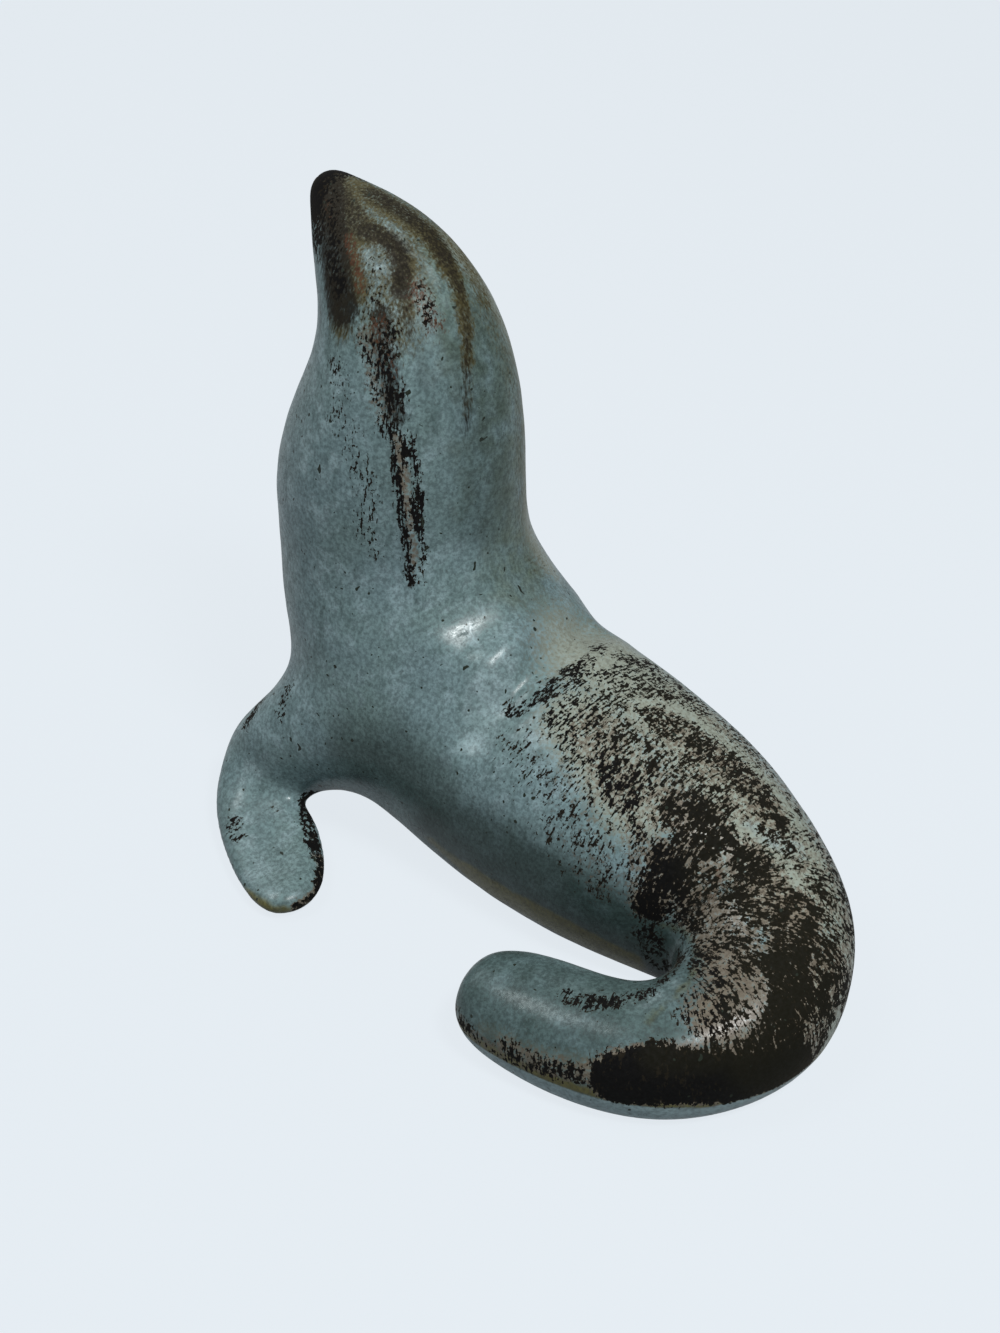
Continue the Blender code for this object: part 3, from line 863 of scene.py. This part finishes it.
# %% Fine relief
PEEL_DEPTH = 0.05
IRON_SINKS = -0.7
peel = add_node(tree, "ShaderNodeMath", {"operation": "MULTIPLY_ADD"}, {
    0: iron_shows, 1: IRON_SINKS, 2: noises["seeds"]})
relief = add_node(tree, "ShaderNodeBump", {}, {
    "Strength": 0.5, "Distance": PEEL_DEPTH * MM, "Height": peel}, "Normal")
tree.links.new(relief, shader.inputs["Normal"])
even.materials.append(glaze)
print("glaze has", len(tree.nodes), "nodes")

# %% [markdown]
# ## The stage
#
# The photograph has an even pale ground and no hard shadow, as a light tent gives. A floor that is
# only lit would fall off from light to dark. So the sheet gets a glow of its own as well: a ray from
# the camera sees mostly the glow, and the rest is lit, so a soft shadow still settles the seal on it.
#
# The sheet is matt paper. Its fibres scatter light evenly and mirror nothing, so it has no highlight.
# Beside the seal it lies in the seal's shade, so the glaze mirrors it dimmer than the camera sees it.

# %% Floor
FAR = 6
corners = [(-FAR, -FAR, 0), (FAR, -FAR, 0), (FAR, FAR, 0), (-FAR, FAR, 0)]
floor_mesh = bpy.data.meshes.new("floor")
floor_mesh.from_pydata(corners, [], [(0, 1, 2, 3)])
floor = bpy.data.objects.new("floor", floor_mesh)
bpy.context.scene.collection.objects.link(floor)
print("floor is", 2 * FAR, "m wide")

# %% Paper
GROUND = "#e7eef4"
PAPER = "#868c90"
GLOW_STRENGTH = 1.09
SEEN_GLOW = 0.85
MIRRORED_GLOW = 0.25

paper = bpy.data.materials.new("matt_pale_paper")
paper.use_nodes = True
tree = paper.node_tree
sheet = tree.nodes["Principled BSDF"]
sheet.inputs["Base Color"].default_value = linear(PAPER)
sheet.inputs["Roughness"].default_value = 0.9
sheet.inputs["Specular IOR Level"].default_value = 0.0
ray = add_node(tree, "ShaderNodeLightPath", {}, {}).node
seen = add_node(tree, "ShaderNodeMath", {"operation": "MAXIMUM"}, {
    0: ray.outputs["Is Camera Ray"], 1: ray.outputs["Is Transmission Ray"]})
seen = add_node(tree, "ShaderNodeMath", {"operation": "MULTIPLY"}, {0: seen, 1: SEEN_GLOW})
reflected = add_node(tree, "ShaderNodeMath", {"operation": "MULTIPLY"}, {
    0: ray.outputs["Is Glossy Ray"], 1: MIRRORED_GLOW})
seen = add_node(tree, "ShaderNodeMath", {"operation": "MAXIMUM"}, {0: seen, 1: reflected})
glow = add_node(tree, "ShaderNodeEmission", {}, {
    "Color": linear(GROUND), "Strength": GLOW_STRENGTH})
both = add_node(tree, "ShaderNodeMixShader", {}, {0: seen, 1: sheet.outputs["BSDF"], 2: glow})
tree.links.new(both, tree.nodes["Material Output"].inputs["Surface"])
floor_mesh.materials.append(paper)
print("paper:", len(tree.nodes), "nodes")

# %% [markdown]
# A light tent shines from every side, so the world is a dim pale grey that fills the shadows, and
# the camera sees the ground's colour in its place. A picture of a studio could light the seal too,
# but a few lamps are easier to match to the highlights one by one.

# %% World
TENT = "#dfe6ea"
TENT_STRENGTH = 0.28

world = bpy.data.worlds.new("light_tent")
world.use_nodes = True
bpy.context.scene.world = world
tree = world.node_tree
tent = tree.nodes["Background"]
tent.inputs["Color"].default_value = linear(TENT)
tent.inputs["Strength"].default_value = TENT_STRENGTH
backdrop = add_node(tree, "ShaderNodeBackground", {}, {"Color": linear(GROUND), "Strength": 1.0})
from_camera = add_node(tree, "ShaderNodeLightPath", {}, {}, "Is Camera Ray")
swap = add_node(tree, "ShaderNodeMixShader", {}, {
    0: from_camera, 1: tent.outputs["Background"], 2: backdrop})
tree.links.new(swap, tree.nodes["World Output"].inputs["Surface"])
print("tent shines at", TENT_STRENGTH)

# %% [markdown]
# Three lamps do the rest. A small lamp leaves a small bright patch on a glaze, so two of them are
# small, and their bearings were matched to the shine in the photograph. The softbox stands high at
# the seal's left, a little in front, and the window stands high behind it and is the brighter. The
# fill is large and weak and stands lower in front, so that the shaded side keeps its colour. A lamp
# is placed by its bearing, as the camera is, with its distance and size in metres and its power in
# watts.

# %% Lamps
def add_lamp(name, turn_deg, rise_deg, reach, width, height, watts):
    """A soft area lamp, placed by its bearing from the seal and aimed at it."""
    way = bearing(turn_deg, rise_deg)
    data = bpy.data.lights.new(name, "AREA")
    data.shape = "RECTANGLE"
    data.size = width
    data.size_y = height
    data.energy = watts
    lamp = bpy.data.objects.new(name, data)
    lamp.location = AIM * MM + way * reach
    lamp.rotation_euler = (-way).to_track_quat("-Z", "Y").to_euler()
    bpy.context.scene.collection.objects.link(lamp)
    return lamp


lamps = [
    add_lamp("softbox", 136, 62, 1.0, 0.42, 0.36, 4.0),
    add_lamp("window", 14, 57, 1.0, 0.23, 0.19, 9.2),
    add_lamp("fill", 196, 34, 1.2, 1.40, 1.10, 3.6),
]
print(len(lamps), "lamps,", round(sum(lamp.data.energy for lamp in lamps), 1), "W together")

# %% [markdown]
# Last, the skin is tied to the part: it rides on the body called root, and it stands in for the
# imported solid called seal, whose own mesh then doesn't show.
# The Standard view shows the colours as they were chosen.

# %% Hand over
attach(skin, "root")
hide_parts("seal")
bpy.context.scene.view_settings.view_transform = "Standard"
